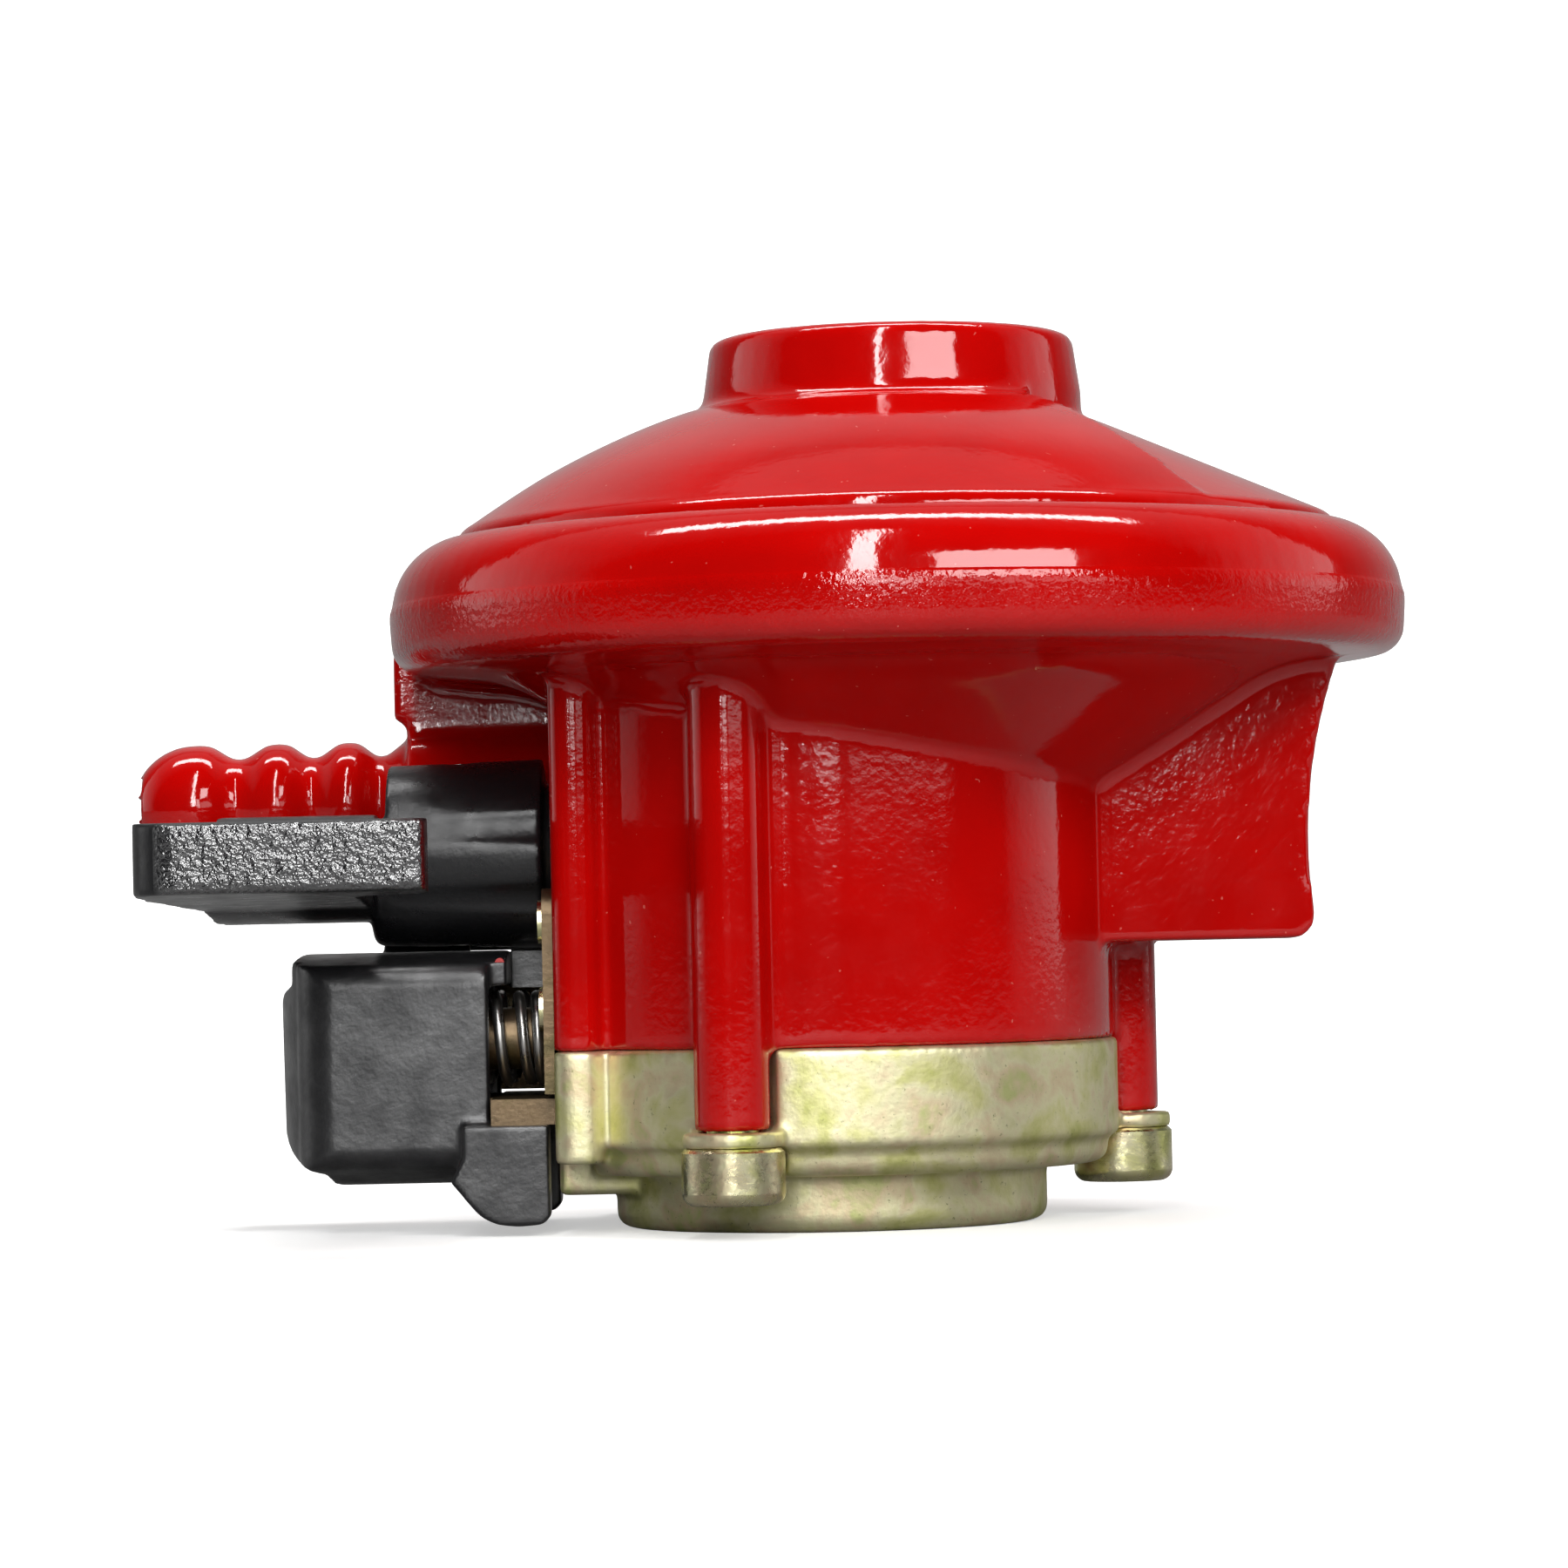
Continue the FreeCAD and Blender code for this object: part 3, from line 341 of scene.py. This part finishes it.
# every node that isn't listed is bare steel
NODE_MATERIALS = {
    "body_casting": RED,
    "bonnet": RED,
    "tamper_cap": RED_PLASTIC,
    "interlock_pin": RED_PLASTIC,
    "adjusting_screw": NYLON,
    "base_ring": ZINC,
    "base_screws": ZINC_SCREW,
    "retainer_plate": ZINC_SHEET,
    "retainer_screws": ZINC_SCREW,
    "spring_guides": ZINC_SHEET,
    "locking_plate": ZINC_SHEET,
    "tap_lever": LEVER_BLACK,
    "button_guide": BUTTON_BLACK,
    "push_button": BUTTON_BLACK,
    "vent_screen": SINTERED,
    "inlet_filter": SINTERED,
    "guide_bush": BRASS,
    "cam_shaft": BRASS,
    "inlet_plunger": BRASS,
    "inlet_orifice": BRASS,
    "diaphragm_stem": BRASS,
    "stem_nut": BRASS,
    "valve_seal_ring": RUBBER,
    "shaft_o_ring": RUBBER,
    "plunger_o_ring": RUBBER,
    "diaphragm": RUBBER,
    "valve_pad": RUBBER,
}

for name, node in frame["nodes"].items():
    node.data.materials.clear()
    node.data.materials.append(NODE_MATERIALS.get(name, STEEL))

# ---------------------------------------------------------------- pieces refined from the frame

BODY_OF = {
    node: body
    for body, nodes in frame["record"]["behaviour"]["bodies"].items()
    for node in nodes
}

# moulded and cast nodes to round over: size of the even mesh in mm, and smoothing passes
SOFTENING = {
    "tap_lever": (0.22, 6),
    "push_button": (0.25, 5),
    "body_casting": (0.40, 5),
    "bonnet": (0.38, 4),
    "base_ring": (0.32, 4),
}

WELD_MM = 0.001
WIRE_SIDES = 12                       # sides of a spring wire's cross-section
STEPS_PER_TURN = 40
CLOSED_TURNS = 1.0                    # close-wound turns at each end of a spring


def evaluated(piece):
    """Mesh of a piece with its modifiers applied."""
    bpy.context.view_layer.update()
    depsgraph = bpy.context.evaluated_depsgraph_get()
    return bpy.data.meshes.new_from_object(piece.evaluated_get(depsgraph))


def softened(node, voxel_mm, passes):
    """Stand-in for a moulded or cast node with its edges and corners rounded over."""
    piece = bpy.data.objects.new(node + "_soft", frame["nodes"][node].data.copy())
    bpy.context.scene.collection.objects.link(piece)
    weld = piece.modifiers.new("weld", "WELD")
    weld.merge_threshold = WELD_MM * MM
    even = piece.modifiers.new("even", "REMESH")
    even.mode = "VOXEL"
    even.voxel_size = voxel_mm * MM
    relax = piece.modifiers.new("round", "SMOOTH")
    relax.factor = 0.5
    relax.iterations = passes
    piece.data = evaluated(piece)
    piece.modifiers.clear()
    piece.data.shade_smooth()
    piece.data.materials.clear()
    piece.data.materials.append(NODE_MATERIALS[node])
    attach(piece, BODY_OF[node])
    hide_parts(node)


def shortened(piece):
    """Gives a piece a copy of its mesh, of its own."""
    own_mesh(piece)


def wound_wire(name, mean_r, wire_r, length, turns):
    """Round-wire spring standing on the XY plane along Z, with a close-wound turn at each end."""
    steps = round(STEPS_PER_TURN * turns)
    closed = 2 * wire_r * CLOSED_TURNS
    open_turns = turns - 2 * CLOSED_TURNS
    open_pitch = (length - 2 * wire_r - 2 * closed) / open_turns
    vertices = []
    for i in range(steps + 1):
        turn = turns * i / steps
        height = wire_r + 2 * wire_r * min(turn, CLOSED_TURNS)
        height += open_pitch * min(max(turn - CLOSED_TURNS, 0.0), open_turns)
        height += 2 * wire_r * max(turn - turns + CLOSED_TURNS, 0.0)
        angle = 2 * math.pi * turn
        for side in range(WIRE_SIDES):
            around_wire = 2 * math.pi * side / WIRE_SIDES
            reach = mean_r + wire_r * math.cos(around_wire)
            z = height + wire_r * math.sin(around_wire)
            vertices.append((reach * math.cos(angle), reach * math.sin(angle), z))
    last_ring = steps * WIRE_SIDES
    faces = [
        tuple(range(WIRE_SIDES)),
        tuple(last_ring + side for side in reversed(range(WIRE_SIDES))),
    ]
    for i in range(steps):
        for side in range(WIRE_SIDES):
            a = i * WIRE_SIDES + side
            b = i * WIRE_SIDES + (side + 1) % WIRE_SIDES
            faces.append((a, a + WIRE_SIDES, b + WIRE_SIDES, b))
    mesh = bpy.data.meshes.new(name)
    mesh.from_pydata(vertices, [], faces)
    mesh.shade_smooth()
    mesh.materials.append(STEEL)
    wire = bpy.data.objects.new(name, mesh)
    bpy.context.scene.collection.objects.link(wire)
    return wire


def placed(wire, matrix):
    """Moves a new wire's mesh, so that its object stays at the origin."""
    wire.data.transform(matrix)
    wire.data.update()


def upright_spring(node, wire_mm, turns):
    """Smooth coil in place of a faceted one whose axis is vertical."""
    low, high = (Vector(corner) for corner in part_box(node))
    wire_r = wire_mm * MM
    wire = wound_wire(node + "_wire", (high.x - low.x) / 2 - wire_r, wire_r, high.z - low.z, turns)
    placed(wire, Matrix.Translation(((low.x + high.x) / 2, (low.y + high.y) / 2, low.z)))
    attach(wire, BODY_OF[node])
    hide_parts(node)
    return wire, low, high


def upright_springs():
    """The plunger's, the main and the relief spring; the last doesn't change its length."""
    wire, low, high = upright_spring("plunger_spring", 0.6, 4.5)
    shortened(wire)
    wire, low, high = upright_spring("main_spring", 0.8, 7.5)
    shortened(wire)
    upright_spring("relief_spring", 0.35, 4.5)


def button_springs():
    """The pair behind the push button, lying along X."""
    low, high = (Vector(corner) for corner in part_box("button_springs"))
    wire_r = 0.45 * MM
    coil_r = (high.z - low.z) / 2
    for side, y in (("near", low.y + coil_r), ("far", high.y - coil_r)):
        length = high.x - low.x
        wire = wound_wire("button_spring_" + side, coil_r - wire_r, wire_r, length, 10)
        turn = Matrix.Rotation(math.radians(90), 4, "Y")
        placed(wire, Matrix.Translation((low.x, y, low.z + coil_r)) @ turn)
        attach(wire, BODY_OF["button_springs"])
        shortened(wire)
    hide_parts("button_springs")


def flexing_diaphragm():
    """Rubber diaphragm as a smooth-shaded copy of its node, carried by its body."""
    sheet = bpy.data.objects.new("diaphragm_sheet", frame["nodes"]["diaphragm"].data.copy())
    bpy.context.scene.collection.objects.link(sheet)
    sheet.data.shade_smooth()
    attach(sheet, BODY_OF["diaphragm"])
    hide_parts("diaphragm")
    shortened(sheet)


for node, (voxel_mm, passes) in SOFTENING.items():
    softened(node, voxel_mm, passes)
upright_springs()
button_springs()
flexing_diaphragm()

# ---------------------------------------------------------------- stage, light and camera

# places and sizes in metres
SWEEP_HALF_WIDTH = 3.0
SWEEP_FRONT = -0.43
SWEEP_BACK = 1.6
SWEEP_HEIGHT = 2.4
SWEEP_BEND = 0.8
SWEEP_BEND_STEPS = 12
SWEEP_GLOW = 0.45
SWEEP_UNLIT_GREY = 0.26               # what the object sees of the sweep

# softboxes that face the object: azimuth and elevation in degrees, width and height, watts
PANEL_DISTANCE = 0.9
PANELS = {
    "strip_left": (-8, 38, (0.06, 1.25), 5.2),
    "box_right": (25, 28, (0.46, 0.24), 3.7),
    "low_front": (1, 11, (0.15, 0.28), 0.9),
    "low_right": (30, 7.5, (0.65, 0.17), 0.7),
}

CAMERA_PLACE_MM = (-3.15, -450.0, 23.4)
CAMERA_LENS_MM = 129.6
CAMERA_SENSOR_MM = 36.0
CAMERA_TIP_UP = 1.466                 # degrees above level
CAMERA_ROLL = -1.2                    # degrees


def studio():
    """Pale floor that curves up into a backdrop, as one swept sheet."""
    outline = [(SWEEP_FRONT, 0.0)]
    for i in range(SWEEP_BEND_STEPS + 1):
        turn = math.radians(90 * i / SWEEP_BEND_STEPS)
        y = SWEEP_BACK - SWEEP_BEND + SWEEP_BEND * math.sin(turn)
        outline.append((y, SWEEP_BEND - SWEEP_BEND * math.cos(turn)))
    outline.append((SWEEP_BACK, SWEEP_HEIGHT))
    points = [(x, y, z) for y, z in outline for x in (-SWEEP_HALF_WIDTH, SWEEP_HALF_WIDTH)]
    faces = [(2 * i, 2 * i + 1, 2 * i + 3, 2 * i + 2) for i in range(len(outline) - 1)]
    mesh = bpy.data.meshes.new("studio_sweep")
    mesh.from_pydata(points, [], faces)
    mesh.shade_smooth()
    mesh.materials.append(pale_sweep())
    sweep = bpy.data.objects.new("studio_sweep", mesh)
    bpy.context.scene.collection.objects.link(sweep)
    sweep.location.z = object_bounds()[0][2]
    sweep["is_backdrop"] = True


def pale_sweep():
    """Looks pale to the camera, but throws little light up under the object."""
    material, shader, place = new_material("pale_sweep")
    tone = noise(material, place, 60.0, detail=2.0)
    pale = two_tone(material, tone, (0.86, 0.86, 0.85), (0.90, 0.90, 0.89))
    nodes = material.node_tree.nodes
    choice = nodes.new("ShaderNodeMix")
    choice.data_type = "RGBA"
    choice.inputs[MIX_FIRST].default_value = (*[SWEEP_UNLIT_GREY] * 3, 1.0)
    seen = nodes.new("ShaderNodeLightPath").outputs["Is Camera Ray"]
    link(material, seen, choice.inputs["Factor"])
    link(material, pale, choice.inputs[MIX_SECOND])
    shader.inputs["Emission Color"].default_value = (*[SWEEP_GLOW] * 3, 1.0)
    link(material, seen, shader.inputs["Emission Strength"])
    link(material, choice.outputs[MIX_RESULT], shader.inputs["Base Color"])
    shader.inputs["Roughness"].default_value = 0.6
    return material


def surroundings():
    """Dark room on the camera's side, white low down behind and beside the object."""
    world = bpy.data.worlds.new("studio")
    world.use_nodes = True
    tree = world.node_tree
    direction = tree.nodes.new("ShaderNodeSeparateXYZ")
    looking = tree.nodes.new("ShaderNodeTexCoord").outputs["Generated"]
    tree.links.new(looking, direction.inputs["Vector"])

    def fade(axis, start, end, low, high):
        """Strength that goes from low to high as the direction's axis goes from start to end."""
        node = tree.nodes.new("ShaderNodeMapRange")
        tree.links.new(direction.outputs[axis], node.inputs["Value"])
        node.inputs["From Min"].default_value = start
        node.inputs["From Max"].default_value = end
        node.inputs["To Min"].default_value = low
        node.inputs["To Max"].default_value = high
        return node.outputs["Result"]

    strength = tree.nodes.new("ShaderNodeMath")
    strength.operation = "MULTIPLY"
    tree.links.new(fade("Y", -0.25, 0.55, 0.02, 1.9), strength.inputs[0])
    tree.links.new(fade("Z", 0.1, 0.7, 1.0, 0.2), strength.inputs[1])
    # the camera itself always sees a pale surround
    seen = tree.nodes.new("ShaderNodeMath")
    seen.operation = "MAXIMUM"
    camera_ray = tree.nodes.new("ShaderNodeLightPath").outputs["Is Camera Ray"]
    tree.links.new(strength.outputs["Value"], seen.inputs[0])
    tree.links.new(camera_ray, seen.inputs[1])
    background = tree.nodes["Background"]
    tree.links.new(seen.outputs["Value"], background.inputs["Strength"])
    background.inputs["Color"].default_value = (*WHITE, 1.0)
    bpy.context.scene.world = world


def area_light(name, place, target, size, power):
    """Rectangular light at place that faces target."""
    data = bpy.data.lights.new(name, "AREA")
    data.shape = "RECTANGLE"
    data.size, data.size_y = size
    data.energy = power
    light = bpy.data.objects.new(name, data)
    bpy.context.scene.collection.objects.link(light)
    light.location = place
    light.rotation_euler = (Vector(target) - Vector(place)).to_track_quat("-Z", "Y").to_euler()


def around(azimuth, elevation, distance, target):
    """Point seen from target at an azimuth from -Y towards +X and an elevation, in degrees."""
    a = math.radians(azimuth)
    e = math.radians(elevation)
    step = Vector((math.sin(a) * math.cos(e), -math.cos(a) * math.cos(e), math.sin(e)))
    return Vector(target) + distance * step


def lights():
    """Softboxes that face the object's middle, and a wash on the backdrop."""
    middle = (cad_bounds[0] + cad_bounds[1]) / 2
    for name, (azimuth, elevation, size, power) in PANELS.items():
        place = around(azimuth, elevation, PANEL_DISTANCE, middle)
        area_light(name, place, middle, size, power)
    area_light("backdrop_wash", place=(0, 0.3, 1.6), target=(0, 1.6, 0.5), size=(1.6, 0.5), power=38)


def camera():
    """Nearly level view along +Y, from a little above the floor."""
    data = bpy.data.cameras.new("camera")
    data.sensor_width = CAMERA_SENSOR_MM
    data.lens = CAMERA_LENS_MM
    data.clip_start = 0.01
    data.clip_end = 20.0
    shot = bpy.data.objects.new("camera", data)
    bpy.context.scene.collection.objects.link(shot)
    shot.location = [coordinate_mm * MM for coordinate_mm in CAMERA_PLACE_MM]
    pitch = Matrix.Rotation(math.radians(90 + CAMERA_TIP_UP), 3, "X")
    roll = Matrix.Rotation(math.radians(CAMERA_ROLL), 3, "Z")
    shot.rotation_euler = (pitch @ roll).to_euler()
    bpy.context.scene.camera = shot


studio()
surroundings()
lights()
camera()
bpy.context.scene.view_settings.view_transform = "Standard"
